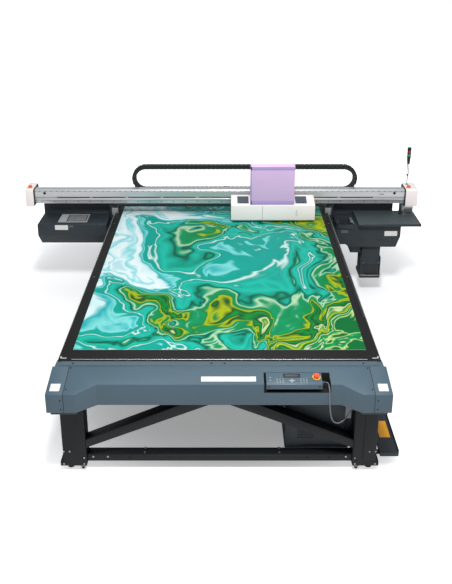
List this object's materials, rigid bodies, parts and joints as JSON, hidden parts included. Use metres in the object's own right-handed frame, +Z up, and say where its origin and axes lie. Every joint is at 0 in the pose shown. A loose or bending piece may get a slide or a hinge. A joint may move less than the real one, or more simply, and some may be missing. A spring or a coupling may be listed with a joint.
{
  "type": "flatbed uv printer",
  "caption": "Large flatbed UV printer: vacuum bed on a braced frame, travelling gantry with a lifting print head, side stations, cable chains and a front panel.",
  "frame": {"origin": "on the floor, under the middle of the machine's overall box", "axes": "+X to the operator's right, +Y from the front to the rear, +Z up"},
  "size_m": [4.1, 4.462, 1.539],
  "materials": {
    "frame_paint": "dark grey powder coat",
    "cover_paint": "blue-grey fine-texture paint",
    "unit_paint": "charcoal fine-texture paint",
    "bed_coat": "dark hard anodised",
    "board_print": "UV-cured print on white board",
    "profile": "clear anodised extrusion",
    "white_shell": "satin moulded white",
    "hood_shell": "lilac satin paint",
    "black_plastic": "moulded black nylon",
    "stop_button": "orange-red moulded",
    "steel": "ground steel",
    "rubber": "matt black",
    "cord": "grey sheath"
  },
  "bodies": {
    "frame": {"side_beam_left": "frame_paint", "side_beam_right": "frame_paint", "front_cross_beam": "frame_paint", "rear_cross_beam": "frame_paint", "front_leg_left": "frame_paint", "front_leg_right": "frame_paint", "rear_leg_left": "frame_paint", "rear_leg_right": "frame_paint", "front_lower_rail": "frame_paint", "front_brace": "frame_paint", "front_levelling_foot_left": "black_plastic", "front_levelling_foot_right": "black_plastic", "rear_levelling_foot_left": "black_plastic", "rear_levelling_foot_right": "black_plastic", "vacuum_bed": "bed_coat", "sample_board": "board_print", "linear_rail_left": "steel", "linear_rail_right": "steel", "front_cover": "cover_paint", "corner_cover_left": "cover_paint", "corner_cover_right": "cover_paint", "rear_cover": "cover_paint", "operation_panel": "black_plastic", "panel_cord": "cord", "control_cabinet": "unit_paint", "chain_tray": "unit_paint", "x_chain_lower": "black_plastic"},
    "gantry": {"gantry_beam": "profile", "beam_cap_left": "white_shell", "beam_cap_right": "white_shell", "signal_tower": "black_plastic", "truck_left": "profile", "truck_right": "profile", "left_unit_housing": "unit_paint", "maintenance_housing": "unit_paint", "side_shelf": "unit_paint", "waste_ink_tank": "unit_paint", "x_chain_upper": "black_plastic", "y_chain_lower": "black_plastic"},
    "carriage": {"carriage_slider": "profile", "y_chain_upper_left": "black_plastic", "y_chain_upper_right": "black_plastic"},
    "print_head": {"print_head_base": "profile", "carriage_cover": "white_shell", "head_hood": "hood_shell"},
    "y_chain_bend_left": {"y_chain_bend_left": "black_plastic"},
    "y_chain_bend_right": {"y_chain_bend_right": "black_plastic"},
    "x_chain_bend": {"x_chain_bend": "black_plastic"},
    "cap_tray": {"cap_tray": "black_plastic"},
    "panel_emergency_stop": {"panel_emergency_stop": "stop_button"},
    "emergency_stop_left": {"emergency_stop_left": "stop_button"},
    "emergency_stop_right": {"emergency_stop_right": "stop_button"},
    "front_castor_fork_left": {"front_castor_fork_left": "frame_paint"},
    "front_castor_wheel_left": {"front_castor_wheel_left": "rubber"},
    "front_castor_fork_right": {"front_castor_fork_right": "frame_paint"},
    "front_castor_wheel_right": {"front_castor_wheel_right": "rubber"},
    "rear_castor_fork_left": {"rear_castor_fork_left": "frame_paint"},
    "rear_castor_wheel_left": {"rear_castor_wheel_left": "rubber"},
    "rear_castor_fork_right": {"rear_castor_fork_right": "frame_paint"},
    "rear_castor_wheel_right": {"rear_castor_wheel_right": "rubber"}
  },
  "joints": [
    {"name": "gantry_travel", "type": "slide", "parent": "frame", "child": "gantry", "axis": [0, 1, 0], "range_m": [-2.55, 0.59], "deforming": ["x_chain_upper", "x_chain_lower"]},
    {"name": "carriage_travel", "type": "slide", "parent": "gantry", "child": "carriage", "axis": [1, 0, 0], "range_m": [-1.7, 0.93], "deforming": ["y_chain_upper_left", "y_chain_upper_right", "y_chain_lower"]},
    {"name": "head_lift", "type": "slide", "parent": "carriage", "child": "print_head", "axis": [0, 0, 1], "range_m": [0, 0.06]},
    {"name": "y_chain_left_travel", "type": "slide", "parent": "gantry", "child": "y_chain_bend_left", "axis": [1, 0, 0], "range_m": [-0.85, 0.465]},
    {"name": "y_chain_right_travel", "type": "slide", "parent": "gantry", "child": "y_chain_bend_right", "axis": [1, 0, 0], "range_m": [-0.85, 0.465]},
    {"name": "x_chain_travel", "type": "slide", "parent": "frame", "child": "x_chain_bend", "axis": [0, 1, 0], "range_m": [-1.275, 0.295]},
    {"name": "cap_lift", "type": "slide", "parent": "gantry", "child": "cap_tray", "axis": [0, 0, 1], "range_m": [0, 0.012]},
    {"name": "panel_stop_press", "type": "slide", "parent": "frame", "child": "panel_emergency_stop", "axis": [0, 0.2176, -0.976], "range_m": [0, 0.005], "stiffness_N_per_m": 2000},
    {"name": "left_stop_press", "type": "slide", "parent": "gantry", "child": "emergency_stop_left", "axis": [0, 0, -1], "range_m": [0, 0.005], "stiffness_N_per_m": 2000},
    {"name": "right_stop_press", "type": "slide", "parent": "gantry", "child": "emergency_stop_right", "axis": [0, 0, -1], "range_m": [0, 0.005], "stiffness_N_per_m": 2000},
    {"name": "front_castor_swivel_left", "type": "hinge", "parent": "frame", "child": "front_castor_fork_left", "pos_m": [-0.985, -2.002, 0.04], "axis": [0, 0, 1], "continuous": true},
    {"name": "front_wheel_spin_left", "type": "hinge", "parent": "front_castor_fork_left", "child": "front_castor_wheel_left", "pos_m": [-0.985, -1.99, 0.021], "axis": [1, 0, 0], "continuous": true},
    {"name": "front_castor_swivel_right", "type": "hinge", "parent": "frame", "child": "front_castor_fork_right", "pos_m": [0.985, -2.002, 0.04], "axis": [0, 0, 1], "continuous": true},
    {"name": "front_wheel_spin_right", "type": "hinge", "parent": "front_castor_fork_right", "child": "front_castor_wheel_right", "pos_m": [0.985, -1.99, 0.021], "axis": [1, 0, 0], "continuous": true},
    {"name": "rear_castor_swivel_left", "type": "hinge", "parent": "frame", "child": "rear_castor_fork_left", "pos_m": [-0.985, 1.842, 0.04], "axis": [0, 0, 1], "continuous": true},
    {"name": "rear_wheel_spin_left", "type": "hinge", "parent": "rear_castor_fork_left", "child": "rear_castor_wheel_left", "pos_m": [-0.985, 1.854, 0.021], "axis": [1, 0, 0], "continuous": true},
    {"name": "rear_castor_swivel_right", "type": "hinge", "parent": "frame", "child": "rear_castor_fork_right", "pos_m": [0.985, 1.842, 0.04], "axis": [0, 0, 1], "continuous": true},
    {"name": "rear_wheel_spin_right", "type": "hinge", "parent": "rear_castor_fork_right", "child": "rear_castor_wheel_right", "pos_m": [0.985, 1.854, 0.021], "axis": [1, 0, 0], "continuous": true}
  ],
  "couplings": [
    {"joint": "y_chain_left_travel", "follows": "carriage_travel", "ratio": 0.5},
    {"joint": "y_chain_right_travel", "follows": "carriage_travel", "ratio": 0.5},
    {"joint": "x_chain_travel", "follows": "gantry_travel", "ratio": 0.5}
  ]
}
